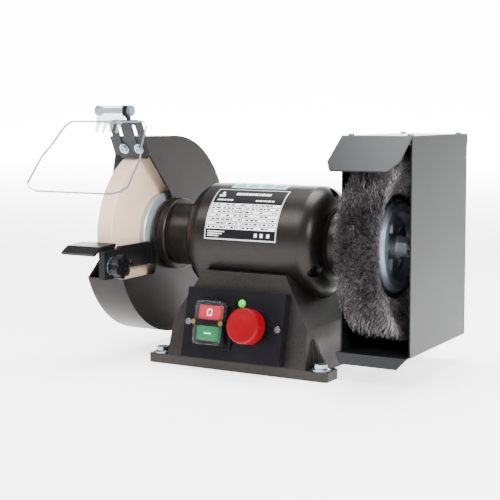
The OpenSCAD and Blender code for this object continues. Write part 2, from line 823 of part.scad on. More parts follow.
// ---------- tool rest ----------
module rest_arm() {
    back = -43;
    color([0.1, 0.1, 0.11]) difference() {
        union() {
            plate_yz(arm_x, arm_t) polygon([[arm_front, 94], [-104, 94], [-90, arm_low], [back, arm_low],
                [back, arm_high],
                [-100, arm_high], [-104, 125], [arm_front, 125]]);
            translate([arm_x, back - 4, arm_low]) cube([guard_in_x - guard_t - arm_x, 4,
                arm_high - arm_low]);
            plate_yz(guard_in_x - guard_t - 3, 3) polygon([[back - 4, arm_low], [-24, arm_low], [-22,
                arm_low + 3],
                [-22, arm_high - 3], [-24, arm_high], [back - 4, arm_high]]);
        }
        translate([0, 0, slot_z]) {
            translate([arm_x - 1, -122, -slot_r]) cube([arm_t + 2, 44, 2 * slot_r]);
            for (y = [-122, -78]) translate([arm_x - 1, y, 0]) rod_x(0, arm_t + 2, slot_r);
        }
        for (z = [-24, -13]) at_axis() translate([-140, -30, z]) rod_x(0, 20, 2.1);
    }
}

module rest_arm_screws() {
    color([0.72, 0.76, 0.8]) for (z = [-24, -13])
        at_axis() translate([guard_in_x - guard_t - 3, -30, z]) rotate([0, -90, 0]) pan_screw(1.9, 3.6,
            2, 13);
}

module tool_rest() {
    right = arm_x - run_gap;
    left = right - rest_w;
    color([0.12, 0.12, 0.13]) difference() {
        union() {
            plate_yz(left, rest_w) polygon([[rest_y, rest_z], [-131, rest_z - 1.5], [-142, rest_z - 8],
                [-140.3, rest_z - 10.8],
                [-129.5, rest_z - 4.6], [rest_y, rest_z - 3.2]]);
            plate_yz(right - leg_t, leg_t) polygon([[-128, 94], [-106, 94], [rest_y - 1.5, 100],
                [rest_y - 1.5, rest_z - 2], [-128, rest_z - 2]]);
        }
        translate([0, pivot_y, slot_z]) rod_x(right - 20, right + 5, 3.05);
    }
}

module rest_bolt() {
    right = arm_x - run_gap;
    color([0.74, 0.77, 0.8]) translate([0, pivot_y, slot_z]) {
        rod_x(right - leg_t - 3, right - leg_t, 6.5);
        rod_x(right - leg_t - 0.1, -120, 3);
        difference() {
            rod_x(arm_x + arm_t + run_gap, arm_x + arm_t + 1.7, 10);
            rod_x(arm_x, arm_x + 10, 3);
        }
    }
}

module rest_knob() {
    base = arm_x + arm_t + 2;
    color([0.09, 0.09, 0.1]) translate([0, pivot_y, slot_z]) difference() {
        union() {
            turned_x([[base, 0], [base, 8.5], [base + 3, 9], [base + 6, 10.5], [base + 6, 0]]);
            difference() {
                rod_x(base + 5, base + 14, 13);
                for (a = [0:60:300]) rotate([a + 20, 0, 0]) translate([base + 4, 0, 15.2]) rotate([0, 90,
                    0]) cylinder(h = 12, r = 4.4);
            }
            rod_x(base + 13.9, base + 15, 9);
        }
        rod_x(base - 1, base + 13, 3.15);
    }
}

// ---------- eye shield ----------
module shield_bracket() {
    half = bracket_w / 2;
    color([0.33, 0.33, 0.35]) difference() {
        union() {
            on_bracket(bracket_x, 0, run_gap) linear_extrude(2.2) polygon([
                [5 - half, 0], [half - 5, 0], [half, 7], [half, bracket_len - 3], [half - 5,
                    bracket_len], [-half + 5, bracket_len], [-half, bracket_len - 3],
                [-half, 7]
            ]);
            plate_yz(clamp_right + run_gap, 2.2) translate([hinge_y, hinge_z])
                polygon([[0, 5], [5.5, 2], [7.6, -8], [6.3, -14.6], [4.3, -15.5], [2.2, -11], [-1.2,
                    -5.4]]);
            translate([clamp_right + run_gap, hinge_y, hinge_z]) rod_x(0, 2.2, 6);
        }
        for (s = [-1, 1]) on_bracket(bracket_x + s * bracket_slot, 0, -5) {
            translate([-2.6, 9.6, 0]) cube([5.2, 29.4, 10]);
            for (up = [9.6, 39]) translate([0, up, 0]) cylinder(h = 10, r = 2.6);
        }
        translate([0, hinge_y, hinge_z]) rod_x(clamp_right - 5, clamp_right + 20, 3.05);
    }
}

module bracket_screws() {
    color([0.75, 0.79, 0.82]) for (s = [-1, 1]) {
        on_bracket(bracket_x + s * bracket_slot, bracket_screw_up, 2.2 + 2 * run_gap) {
            difference() {
                cylinder(h = 1, r = 6);
                translate([0, 0, -1]) cylinder(h = 3, r = 1.9);
            }
            translate([0, 0, 1]) pan_screw(1.9, 4, 2.6, 12);
        }
    }
}

module hinge_block() {
    color([0.07, 0.07, 0.07]) translate([clamp_right + 2.5 + run_gap, hinge_y, hinge_z]) rotate([0, 90,
        0]) difference() {
        round_block(12, 19, block_t, 2);
        translate([0, 0, -1]) cylinder(h = 8, r = 3.05);
    }
}

module shield_hinge_bolt() {
    right = clamp_right + 2.5 + run_gap + block_t;
    color([0.76, 0.8, 0.83]) translate([0, hinge_y, hinge_z]) {
        rod_x(right, right + 1.2, 6);
        hex_x(right + 1.1, right + 4.5, 10);
        rod_x(clamp_left - 6.5, right + 0.1, 3);
        difference() {
            hex_x(clamp_left - 5.5, clamp_left - run_gap, 10);
            rod_x(clamp_left - 8, clamp_left + 2, 3);
        }
    }
}

module shield_clamp() {
    color([0.8, 0.82, 0.86, 0.5]) difference() {
        union() {
            across_shield(clamp_left, clamp_right - clamp_left) union() {
                circle(r = clamp_r);
                polygon([[-1, -5], [-3, -6], [-13, -6], [-13, 2], [-1, 2]]);
            }
            for (i = [0:3]) across_shield(clamp_left + 1 + i * rib_pitch, 3)
                polygon([[-11, -5.9], [-11, 1.5], [-27, -5.2], [-27, -5.9]]);
        }
        translate([0, hinge_y, hinge_z]) rod_x(clamp_left - 1, clamp_right + 1, 3.1);
    }
}

// Solid of one outline seen along X, its X up the shield from the hinge and its Y out of it
module across_shield(x0, t) {
    on_shield() rotate([90, 0, -90]) translate([0, 0, x0]) linear_extrude(t) children();
}

module eye_shield() {
    half = shield_w / 2;
    right = [
        [half * 0.735, 9.5], [half * 0.82, 16], [half * 0.92, 48], [half * 0.985, 60], [half, shield_len - 10.5],
        [half * 0.91, shield_len - 4], [half * 0.74, shield_len]
    ];
    left = [for (i = [len(right) - 1:-1:0]) [-right[i][0], right[i][1]]];
    color([0.85, 0.88, 0.92, 0.3]) on_shield(shield_x, 0, sheet_out) linear_extrude(shield_t)
        polygon(concat(right, left));
}

// ---------- wire brush side ----------
module brush_box() {
    wide = box_right - box_left;
    deep = box_back - box_front;
    tall = box_high - box_low;
    color([0.36, 0.34, 0.32]) difference() {
        union() {
            translate([box_left, box_front, box_low]) cube([box_t, deep, tall]);
            translate([box_right - box_t, box_front, box_low]) cube([box_t, deep, tall]);
            translate([box_left, box_back - box_t, box_low]) cube([wide, box_t, tall]);
            translate([box_left, lip_y, box_low]) cube([wide, box_back - lip_y, box_t]);
            lip();
            for (x = [box_left, box_right - 12]) translate([x, box_front, box_high - box_t]) cube([12,
                deep, box_t]);
        }
        at_axis() rod_x(box_left - 1, box_left + 5, 16);
        for (a = [45:90:315]) around_axis(28, a) rod_x(box_left - 1, box_left + 5, 2.3);
        for (x = [box_left + 6, box_right - 6], y = [box_front + 10, box_back - 12])
            translate([x, y, box_high - 5]) cylinder(h = 10, r = 1.7);
    }
}

// Front lip of the brush box floor, bent down with cut corners
module lip() {
    drop = 10;
    intersection() {
        plate_yz(box_left, box_right - box_left) polygon([
            [lip_y + 1, box_low + box_t], [lip_y - 0.8, box_low + box_t], [lip_y - 7.8,
                box_low + box_t - drop],
            [lip_y - 6.6, box_low + box_t - drop - 0.9], [lip_y, box_low], [lip_y + 1, box_low]
        ]);
        plate_xz(lip_y - 20, 30) polygon([[box_left, box_low + 3], [box_right, box_low + 3], [box_right,
            box_low], [box_right - 9, box_low - drop - 1],
            [box_left + 9, box_low - drop - 1], [box_left, box_low]]);
    }
}

module brush_box_cover() {
    wide = box_right - box_left;
    rise = box_high + box_t;
    color([0.4, 0.38, 0.36]) difference() {
        union() {
            translate([box_left, box_front, box_high]) cube([wide, box_back - box_front, box_t]);
            intersection() {
                plate_yz(box_left, wide) polygon([[box_front + 0.5, rise], [box_front, rise], [visor_y,
                    visor_z], [visor_y + 0.9, visor_z - 1.2],
                    [box_front + 0.5, box_high]]);
                plate_xz(visor_y - 5, 60) polygon([[box_left, rise + 1], [box_right, rise + 1],
                    [box_right, visor_z + visor_cut], [box_right - visor_cut * 1.3, visor_z - 3],
                    [box_left + visor_cut * 1.3, visor_z - 3], [box_left, visor_z + visor_cut]]);
            }
            translate([box_left, box_back, box_high - 10]) cube([wide, box_t, 10 + box_t]);
        }
        for (x = [box_left + 6, box_right - 6], y = [box_front + 10, box_back - 12])
            translate([x, y, box_high - 5]) cylinder(h = 10, r = 2);
    }
}

module brush_box_screws() {
    color([0.75, 0.79, 0.82]) {
        for (x = [box_left + 6, box_right - 6], y = [box_front + 10, box_back - 12])
            translate([x, y, box_high + box_t]) pan_screw(1.6, 3.2, 1.8, 9);
        for (a = [45:90:315]) around_axis(28, a) translate([box_left + box_t, 0, 0]) rotate([0, 90,
            0]) pan_screw(2, 3.8, 2.2, 9);
    }
}

// Pressed steel disc that holds the wire, outer face towards +X from X = 0
module brush_disc() {
    difference() {
        turned_x([[-5, 0], [-5, 34], [3, 38], [3, 44], [-1, 46], [-1.5, disc_r], [0.5, disc_r], [1, 47],
            [5, 45], [5, 36.5], [-3, 32.5], [-3, 0]]);
        for (a = [0:60:300]) rotate([a, 0, 0]) plate_yz(-8, 10) polygon([[14, -3], [26, -8], [26, 8],
            [14, 3]]);
        rod_x(-10, 10, seat_r);
    }
}

module brush_discs() {
    color([0.68, 0.72, 0.75]) at_axis() {
        translate([brush_x + 5, 0, 0]) brush_disc();
        translate([brush_x - 5, 0, 0]) mirror([1, 0, 0]) brush_disc();
        difference() {
            union() {
                rod_x(brush_x - 8, brush_x + 7.2, 12);
                rod_x(box_left - 1.5, brush_x - 7.9, 12.5);
            }
            rod_x(100, 180, seat_r);
        }
    }
}

module wire_brush() {
    half = brush_w / 2;
    right = [
        [3.3, wire_root_r], [3.3, disc_r], [half - 6, disc_r + 15], [half, disc_r + 31],
        [half, brush_d / 2 - 9], [half - 5, brush_d / 2]
    ];
    left = [for (i = [len(right) - 1:-1:0]) [brush_x - right[i][0], right[i][1]]];
    color([0.24, 0.22, 0.21]) at_axis()
        turned_x(concat([for (p = right) [brush_x + p[0], p[1]]], left));
}

pedestal();
base_plate();
base_plate_screws();
foot_bolts();
control_panel();
panel_screws();
switch_housing();
stop_button();
start_button();
switch_boot();
switch_boot_bar();
switch_screws();
switch_contacts();
pilot_lamp();
estop_collar();
estop_contacts();
estop_stem();
estop_cap();
cable_gland();
run_capacitor();
capacitor_clip();
terminal_block();
motor_housing();
left_end_shield();
right_end_shield();
end_shield_screws();
stator_core();
stator_windings();
rotor();
spindle_shaft();
bearing_outer_rings();
bearing_balls();
bearing_inner_rings();
nameplate();
info_sticker();
wheel_guard();
guard_cover();
guard_screws();
guard_mount_screws();
inner_flange();
grinding_wheel();
wheel_blotters();
outer_flange();
spindle_nuts();
rest_arm();
rest_arm_screws();
tool_rest();
rest_bolt();
rest_knob();
shield_bracket();
bracket_screws();
shield_hinge_bolt();
hinge_block();
shield_clamp();
eye_shield();
brush_box();
brush_box_cover();
brush_box_screws();
brush_discs();
wire_brush();
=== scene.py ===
import json
import math
import random

import bpy
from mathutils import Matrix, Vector


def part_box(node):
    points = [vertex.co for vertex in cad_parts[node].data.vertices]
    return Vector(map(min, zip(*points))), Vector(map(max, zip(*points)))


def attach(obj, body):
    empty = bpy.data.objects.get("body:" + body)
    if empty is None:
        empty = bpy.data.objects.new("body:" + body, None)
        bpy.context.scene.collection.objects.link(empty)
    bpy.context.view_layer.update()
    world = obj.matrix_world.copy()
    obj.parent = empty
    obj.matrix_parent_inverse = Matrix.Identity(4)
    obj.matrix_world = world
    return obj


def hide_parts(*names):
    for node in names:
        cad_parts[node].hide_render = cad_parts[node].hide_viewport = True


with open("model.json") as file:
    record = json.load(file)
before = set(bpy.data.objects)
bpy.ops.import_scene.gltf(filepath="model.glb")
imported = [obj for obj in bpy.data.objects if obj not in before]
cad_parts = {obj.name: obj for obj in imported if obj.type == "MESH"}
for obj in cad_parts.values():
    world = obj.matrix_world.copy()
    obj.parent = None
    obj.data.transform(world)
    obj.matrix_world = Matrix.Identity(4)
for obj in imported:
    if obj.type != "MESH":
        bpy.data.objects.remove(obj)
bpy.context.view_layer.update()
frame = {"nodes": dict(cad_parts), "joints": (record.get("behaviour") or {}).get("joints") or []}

MM = 0.001
rng = random.Random(11)
collection = bpy.context.scene.collection


# ---------- materials ----------
BROAD_NOISE = 28.0
STREAK_NOISE = 260.0
STREAKS_ALONG_X = (1.0, 14.0, 14.0)
STREAKS_AROUND_X = (30.0, 1.0, 1.0)
RELIEF_DEPTH, RELIEF_GAIN = 0.00025, 6
PLASTIC_IOR = 1.49


def material(name, color, roughness, metallic=0.0, spread=0.12, grain=900.0, bump=0.04, edge=0.4,
             scratch=0.0, alpha=1.0, flake=0.0, rings=False, emission=0.0, spec=0.5, cloud=0.055):
    """Principled surface whose colour, roughness and relief vary with noise in the piece's own space.

    spread is how far the colour wanders, flake adds to that in the fine grain, and cloud is how far the
    roughness wanders. grain is the scale of the fine noise, bump its height, and edge the radius, in mm,
    that edges seem to have. scratch turns the roughness into streaks, which rings lays round the spindle.
    """
    m = bpy.data.materials.new(name)
    m.use_nodes = True
    tree = m.node_tree
    nodes, links = tree.nodes, tree.links
    p = nodes["Principled BSDF"]
    where = nodes.new("ShaderNodeTexCoord")

    def noise(scale, detail=4.0, stretch=None):
        n = nodes.new("ShaderNodeTexNoise")
        n.inputs["Scale"].default_value = scale
        n.inputs["Detail"].default_value = detail
        n.inputs["Roughness"].default_value = 0.6
        source = where.outputs["Object"]
        if stretch:
            mapping = nodes.new("ShaderNodeMapping")
            mapping.inputs["Scale"].default_value = stretch
            links.new(source, mapping.inputs["Vector"])
            source = mapping.outputs["Vector"]
        links.new(source, n.inputs["Vector"])
        return n.outputs["Fac"]

    def ramp(fac, low, high):
        """Maps the middle of the noise, where nearly all of it lies, to low..high."""
        r = nodes.new("ShaderNodeMapRange")
        r.inputs["From Min"].default_value = 0.3
        r.inputs["From Max"].default_value = 0.7
        r.inputs["To Min"].default_value = low
        r.inputs["To Max"].default_value = high
        links.new(fac, r.inputs["Value"])
        return r.outputs["Result"]

    def scaled(col, fac):
        v = nodes.new("ShaderNodeVectorMath")
        v.operation = "SCALE"
        if isinstance(col, tuple):
            v.inputs[0].default_value = col
        else:
            links.new(col, v.inputs[0])
        links.new(fac, v.inputs["Scale"])
        return v.outputs[0]

    wide = noise(BROAD_NOISE)
    fine = noise(grain, 2.0)
    shade = scaled(color, ramp(wide, 1 - spread, 1 + spread))
    shade = scaled(shade, ramp(fine, 1 - spread - flake, 1 + spread + flake))
    links.new(shade, p.inputs["Base Color"])
    if scratch:
        streaks = noise(STREAK_NOISE, 3.0, STREAKS_AROUND_X if rings else STREAKS_ALONG_X)
        rough = ramp(streaks, max(0.05, roughness - scratch), roughness + scratch)
    else:
        rough = ramp(wide, max(0.03, roughness - cloud), roughness + cloud)
    links.new(rough, p.inputs["Roughness"])
    p.inputs["Metallic"].default_value = metallic
    p.inputs["Specular IOR Level"].default_value = spec
    p.inputs["Alpha"].default_value = alpha
    p.inputs["IOR"].default_value = PLASTIC_IOR
    if emission:
        p.inputs["Emission Color"].default_value = (*color, 1.0)
        p.inputs["Emission Strength"].default_value = emission
    relief = nodes.new("ShaderNodeBump")
    relief.inputs["Strength"].default_value = min(1.0, bump * RELIEF_GAIN)
    relief.inputs["Distance"].default_value = RELIEF_DEPTH
    links.new(fine, relief.inputs["Height"])
    if edge:
        soft = nodes.new("ShaderNodeBevel")
        soft.samples = 4
        soft.inputs["Radius"].default_value = edge * MM
        links.new(soft.outputs["Normal"], relief.inputs["Normal"])
    links.new(relief.outputs["Normal"], p.inputs["Normal"])
    return m


grey = material("grey_paint_look", (0.0212, 0.0195, 0.0184), roughness=0.33, metallic=0.75, spread=0.07,
                grain=1500, bump=0.03, edge=0.8, flake=0.15, spec=0.12)
box_grey = material("box_paint_look", (0.0112, 0.0118, 0.0123), roughness=0.36, metallic=0.65, spread=0.05,
                    grain=1500, bump=0.03, edge=0.8, flake=0.14, spec=0.12, cloud=0.012)
grey_cast = material("grey_cast_look", (0.0285, 0.026, 0.0242), roughness=0.4, metallic=0.6, spread=0.09,
                     bump=0.06, edge=1.2, flake=0.14, spec=0.12)
black = material("black_powder_look", (0.0035, 0.0035, 0.004), roughness=0.4, spread=0.2, grain=1300,
                 bump=0.09, edge=0.7, spec=0.16)
bracket = material("bracket_look", (0.0085, 0.0085, 0.0095), roughness=0.4, metallic=0.4, grain=1100,
                   bump=0.05, edge=0.5, spec=0.2)
charcoal = material("panel_look", (0.0048, 0.0044, 0.006), roughness=0.5, spread=0.2, grain=1100, bump=0.1,
                    edge=0.8, spec=0.07)
plastic = material("black_plastic_look", (0.003, 0.003, 0.0035), roughness=0.3, spread=0.25, grain=1700,
                   bump=0.03, edge=0.5, spec=0.16)
dark_steel = material("dark_steel_look", (0.014, 0.014, 0.015), roughness=0.4, metallic=0.7, spread=0.2,
                      edge=0.3)
zinc = material("zinc_look", (0.26, 0.3, 0.34), roughness=0.25, metallic=0.95, spread=0.1, grain=700,
                bump=0.03, edge=0.35, scratch=0.08)
bare = material("ground_steel_look", (0.36, 0.36, 0.37), roughness=0.25, metallic=1.0, spread=0.08,
                grain=600, bump=0.03, edge=0.3, scratch=0.09, rings=True)
pressed = material("pressed_steel_look", (0.2, 0.235, 0.265), roughness=0.4, metallic=0.6, grain=500,
                   edge=0.5, scratch=0.1, rings=True)
flange = material("flange_look", (0.42, 0.44, 0.47), roughness=0.38, metallic=0.5, spread=0.08, grain=600,
                  bump=0.03, edge=0.3, scratch=0.08, rings=True)
brass = material("brass_look", (0.4, 0.24, 0.08), roughness=0.3, metallic=0.95, grain=800, bump=0.03,
                 edge=0.2)
red = material("red_look", (0.15, 0.0004, 0.0038), roughness=0.33, spread=0.06, grain=1400, bump=0.03,
               edge=0.7, spec=0.1)
rose = material("rose_look", (0.3, 0.005, 0.013), roughness=0.36, spread=0.06, grain=1400, bump=0.02,
                edge=0.7, spec=0.16)
green = material("green_look", (0.004, 0.105, 0.035), roughness=0.36, spread=0.07, grain=1400, bump=0.02,
                 edge=0.7, spec=0.16)
lamp = material("lamp_look", (0.03, 0.45, 0.02), roughness=0.15, spread=0.06, bump=0.01, edge=0.2,
                emission=0.5)
white = material("mark_look", (0.75, 0.75, 0.75), roughness=0.5, spread=0.05, bump=0.02, edge=0.0)
cream = material("abrasive_look", (0.68, 0.5, 0.35), roughness=0.88, spread=0.045, grain=1100, bump=0.14,
                 edge=0.6, flake=0.06)
blotter = material("blotter_look", (0.03, 0.06, 0.14), roughness=0.8, spread=0.1, bump=0.08, edge=0.0)
# The wide colour spread in a fine grain paints bright and dark flecks along the wires: painted glints
wire = material("wire_look", (0.105, 0.097, 0.101), roughness=0.32, metallic=0.5, spread=0.7, grain=420,
                bump=0.02, edge=0.0)
# Near-black matte root: painted shade for the shadow between the packed wires near the discs
painted_shade_root = material("painted_shade_root_look", (0.003, 0.003, 0.003), roughness=0.9, spread=0.3, bump=0.1, edge=0.0)
laminated = material("lamination_look", (0.2, 0.2, 0.22), roughness=0.4, metallic=0.8, grain=600, bump=0.05,
                     edge=0.2)
copper = material("winding_look", (0.3, 0.09, 0.025), roughness=0.35, metallic=0.5, spread=0.2, grain=700,
                  bump=0.15, edge=0.2)
can = material("can_look", (0.45, 0.46, 0.48), roughness=0.33, metallic=0.9, spread=0.06, grain=700,
               bump=0.03)
terminal = material("terminal_look", (0.45, 0.4, 0.3), roughness=0.5, spread=0.06, grain=800, edge=0.3)
plate = material("plate_look", (0.5, 0.51, 0.51), roughness=0.38, metallic=0.5, spread=0.05, bump=0.02,
                 edge=0.0)
ink = material("ink_look", (0.003, 0.003, 0.004), roughness=0.4, spread=0.2, bump=0.02, edge=0.0, spec=0.15)
film = material("film_look", (0.4, 0.53, 0.52), roughness=0.4, spread=0.05, bump=0.02, edge=0.0)
teal = material("teal_look", (0.05, 0.25, 0.26), roughness=0.42, spread=0.08, bump=0.02, edge=0.0)
clear = material("clear_look", (0.5, 0.52, 0.55), roughness=0.05, spread=0.01, grain=300, bump=0.003,
                 edge=0.0, alpha=0.014, spec=0.2)
clamp_look = material("clamp_look", (0.3, 0.315, 0.345), roughness=0.2, spread=0.04, grain=500, alpha=0.55)
boot = material("boot_look", (0.4, 0.42, 0.44), roughness=0.15, spread=0.04, grain=500, bump=0.03, edge=0.3,
                alpha=0.02, spec=0.15)
rim_look = material("clear_rim_look", (0.13, 0.14, 0.19), roughness=0.25, spread=0.05, grain=600, bump=0.02,
                    edge=0.0, alpha=0.85)
boot_rim_look = material("boot_rim_look", (0.16, 0.17, 0.18), roughness=0.25, spread=0.05, grain=600,
                         bump=0.02, edge=0.0, alpha=0.15, spec=0.2)

finish_of = {
    grey: ["motor_housing", "left_end_shield", "right_end_shield", "wheel_guard", "guard_cover"],
    box_grey: ["brush_box", "brush_box_cover"],
    grey_cast: ["pedestal"],
    black: ["rest_arm", "tool_rest"],
    bracket: ["shield_bracket"],
    charcoal: ["control_panel"],
    plastic: ["switch_housing", "switch_boot_bar", "estop_collar", "estop_stem", "cable_gland",
              "hinge_block", "rest_knob"],
    dark_steel: ["base_plate", "end_shield_screws"],
    zinc: ["base_plate_screws", "foot_bolts", "panel_screws", "guard_screws", "guard_mount_screws",
           "rest_arm_screws", "rest_bolt", "bracket_screws", "shield_hinge_bolt", "brush_box_screws",
           "capacitor_clip"],
    pressed: ["brush_discs"],
    flange: ["inner_flange", "outer_flange", "spindle_nuts"],
    bare: ["spindle_shaft", "bearing_outer_rings", "bearing_balls", "bearing_inner_rings"],
    brass: ["switch_screws", "switch_contacts"],
    red: ["estop_cap"],
    rose: ["stop_button"],
    green: ["start_button"],
    lamp: ["pilot_lamp"],
    cream: ["grinding_wheel"],
    blotter: ["wheel_blotters"],
    laminated: ["stator_core", "rotor"],
    copper: ["stator_windings"],
    can: ["run_capacitor"],
    terminal: ["terminal_block", "estop_contacts"],
    plate: ["nameplate"],
    film: ["info_sticker"],
    clear: ["eye_shield"],
    clamp_look: ["shield_clamp"],
    boot: ["switch_boot"],
    wire: ["wire_brush"],
}
for look, names in finish_of.items():
    for name in names:
        node = frame["nodes"][name]
        node.data.materials.clear()
        node.data.materials.append(look)


# ---------- pieces ----------
def piece(name, verts, faces, look, body, slot, smooth=False):
    """New object that rides on a CAD body; verts are in metres."""
    mesh = bpy.data.meshes.new(name)
    mesh.from_pydata([tuple(v) for v in verts], [], faces)
    mesh.materials.append(look)
    if smooth:
        mesh.shade_smooth()
    mesh.update()
    o = bpy.data.objects.new(name, mesh)
    collection.objects.link(o)
    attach(o, body)
    return o


BOX_FACES = ((3, 2, 1, 0), (4, 5, 6, 7), (0, 1, 5, 4), (1, 2, 6, 5), (2, 3, 7, 6), (3, 0, 4, 7))


def boxes(cells, at):
    """Verts and faces of many small boxes, each (x0, x1, y0, y1, z0, z1), placed by at(x, y, z)."""
    verts, faces = [], []
    for x0, x1, y0, y1, z0, z1 in cells:
        n = len(verts)
        for z in (z0, z1):
            verts += [at(x0, y0, z), at(x1, y0, z), at(x1, y1, z), at(x0, y1, z)]
        faces += [tuple(n + i for i in face) for face in BOX_FACES]
    return verts, faces


def span_x(node):
    """Lowest and highest x of a CAD node, in mm."""
    low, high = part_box(node)
    return round(low[0] / MM, 3), round(high[0] / MM, 3)


def middle_x(node):
    return sum(span_x(node)) / 2


joint_at = {j["name"]: [v / MM for v in j["pos_m"]] for j in frame["joints"] if "pos_m" in j}
SPINDLE_Z = joint_at["spindle_spin"][2]
BARREL_R = 60.7

# The control panel's slope: how far it leans back, and the y and z of its foot
LEAN = math.radians(13.2)
SLOPE_Y, SLOPE_Z = -82, 10


def on_slope(x, up, out):
    """Point up the panel's slope and out from it, both in mm."""
    y = SLOPE_Y + up * math.sin(LEAN) - out * math.cos(LEAN)
    z = SLOPE_Z + up * math.cos(LEAN) + out * math.sin(LEAN)
    return Vector((x, y, z)) * MM


def on_barrel(x, angle, out):
    """Point on the barrel's front, angle degrees above level and out mm from its surface."""
    a = math.radians(angle)
    r = BARREL_R + out
    return Vector((x, -r * math.cos(a), SPINDLE_Z + r * math.sin(a))) * MM


def curved_cells(cells, step=2.0):
    """Cells (x0, x1, a0, a1, out0, out1) cut along the angle, so that they follow the barrel."""
    cut = []
    for x0, x1, a0, a1, z0, z1 in cells:
        n = max(1, int(math.ceil((a1 - a0) / step)))
        for i in range(n):
            cut.append((x0, x1, a0 + (a1 - a0) * i / n, a0 + (a1 - a0) * (i + 1) / n, z0, z1))
    return cut


def barrel_print(name, cells, look, slot):
    verts, faces = boxes(curved_cells(cells), on_barrel)
    piece(name, verts, faces, look, "grinder_body", slot)


# Nameplate print: dark header and footer, light rows, short dashes in place of words.
# Widths are in mm, heights in degrees round the barrel, and the layers in mm out from it.
PLATE_MARGIN = 1.3
PLATE_LOW, ROWS_LOW, ROWS_HIGH, PLATE_HIGH = 4.4, 13.4, 43.2, 63.2
PLATE_FACE, BAND_BACK, BAND_TOP, INK_TOP = 0.5, 0.53, 0.56, 0.58
ROW_COUNT, ROW_FIRST, ROW_PITCH, ROW_HIGH = 7, 13.9, 4.18, 3.45
COLUMN_SPLIT = (-6.2, -5.4)
ROW_INSET, DASH_INSET, DASH_ROOM, DASH_END = 0.4, 1.6, 4, 1
DASH_LOW, DASH_HIGH, DASH_CHANCE = 0.9, 2.6, 0.82
DASH_LONG, DASH_GAP = (1.4, 5.2), (0.7, 2.6)
# Each title line: its lowest and highest angle, how many dashes it has, and the x where it starts
TITLE_LINES = ((54.5, 58.0, 11, -24), (46.2, 48.0, 5, -44), (46.2, 48.0, 6, 4))
TITLE_LONG, TITLE_GAP, TITLE_END = (1.6, 4.0), (0.6, 1.3), 3
# The emblem is three blocks, placed by their lower left corners
EMBLEM, EMBLEM_WIDE, EMBLEM_TALL = ((-44, 51.5), (-40, 51.5), (-42, 55.8)), 3, 3.2
FOOT_SQUARES, FOOT_SQUARE, SQUARE_LOW, SQUARE_HIGH = (12, 19, 27), 3.4, 7.0, 10.8
FOOT_LINES, FOOT_LINE_TALL, FOOT_LINE_X, FOOT_LINE_LONG = (6.4, 8.6, 10.8), 0.9, -46, (12, 22)

plate_x0, plate_x1 = span_x("nameplate")
x0, x1 = plate_x0 + PLATE_MARGIN, plate_x1 - PLATE_MARGIN
bands = [
    (x0, x1, ROWS_HIGH, PLATE_HIGH, PLATE_FACE, BAND_TOP),
    (x0, x1, PLATE_LOW, ROWS_LOW, PLATE_FACE, BAND_TOP),
    (x0, x1, ROWS_LOW, ROWS_HIGH, PLATE_FACE, BAND_BACK),
]
rows, dashes = [], []
for i in range(ROW_COUNT):
    low = ROW_FIRST + i * ROW_PITCH
    for left, right in ((x0 + ROW_INSET, COLUMN_SPLIT[0]), (COLUMN_SPLIT[1], x1 - ROW_INSET)):
        rows.append((left, right, low, low + ROW_HIGH, BAND_BACK, BAND_TOP))
        at_x = left + DASH_INSET
        while at_x < right - DASH_ROOM:
            long = rng.uniform(*DASH_LONG)
            if rng.random() < DASH_CHANCE:
                end = min(at_x + long, right - DASH_END)
                dashes.append((at_x, end, low + DASH_LOW, low + DASH_HIGH, BAND_TOP, INK_TOP))
            at_x += long + rng.uniform(*DASH_GAP)

title = []
for a0, a1, count, start in TITLE_LINES:
    at_x = start
    for _ in range(count):
        long = rng.uniform(*TITLE_LONG)
        if at_x + long < x1 - TITLE_END:
            title.append((at_x, at_x + long, a0, a1, BAND_TOP, INK_TOP))
        at_x += long + rng.uniform(*TITLE_GAP)
for at_x, at_a in EMBLEM:
    title.append((at_x, at_x + EMBLEM_WIDE, at_a, at_a + EMBLEM_TALL, BAND_TOP, INK_TOP))
for at_x in FOOT_SQUARES:
    title.append((at_x, at_x + FOOT_SQUARE, SQUARE_LOW, SQUARE_HIGH, BAND_TOP, INK_TOP))
for at_a in FOOT_LINES:
    end = FOOT_LINE_X + rng.uniform(*FOOT_LINE_LONG)
    title.append((FOOT_LINE_X, end, at_a, at_a + FOOT_LINE_TALL, BAND_TOP, INK_TOP))
barrel_print("plate_bands", bands, ink, "plate_print")
barrel_print("plate_rows", rows, white, "plate_print")
barrel_print("plate_dashes", dashes, ink, "plate_print")
barrel_print("plate_title", title, white, "plate_print")

# Sticker: four columns, each a block over a long and a short line, as (angles, width)
FILM_FACE, FILM_INK = 0.25, 0.29
COLUMNS, COLUMN_START, COLUMN_PITCH = 4, 4, 16
COLUMN_PARTS = ((71.5, 80.5, 11), (82.5, 84.0, 11), (86.0, 87.2, 7))
marks = []
for i in range(COLUMNS):
    left = span_x("info_sticker")[0] + COLUMN_START + i * COLUMN_PITCH
    marks += [(left, left + wide, a0, a1, FILM_FACE, FILM_INK) for a0, a1, wide in COLUMN_PARTS]
barrel_print("sticker_shapes", marks, teal, "sticker_film")

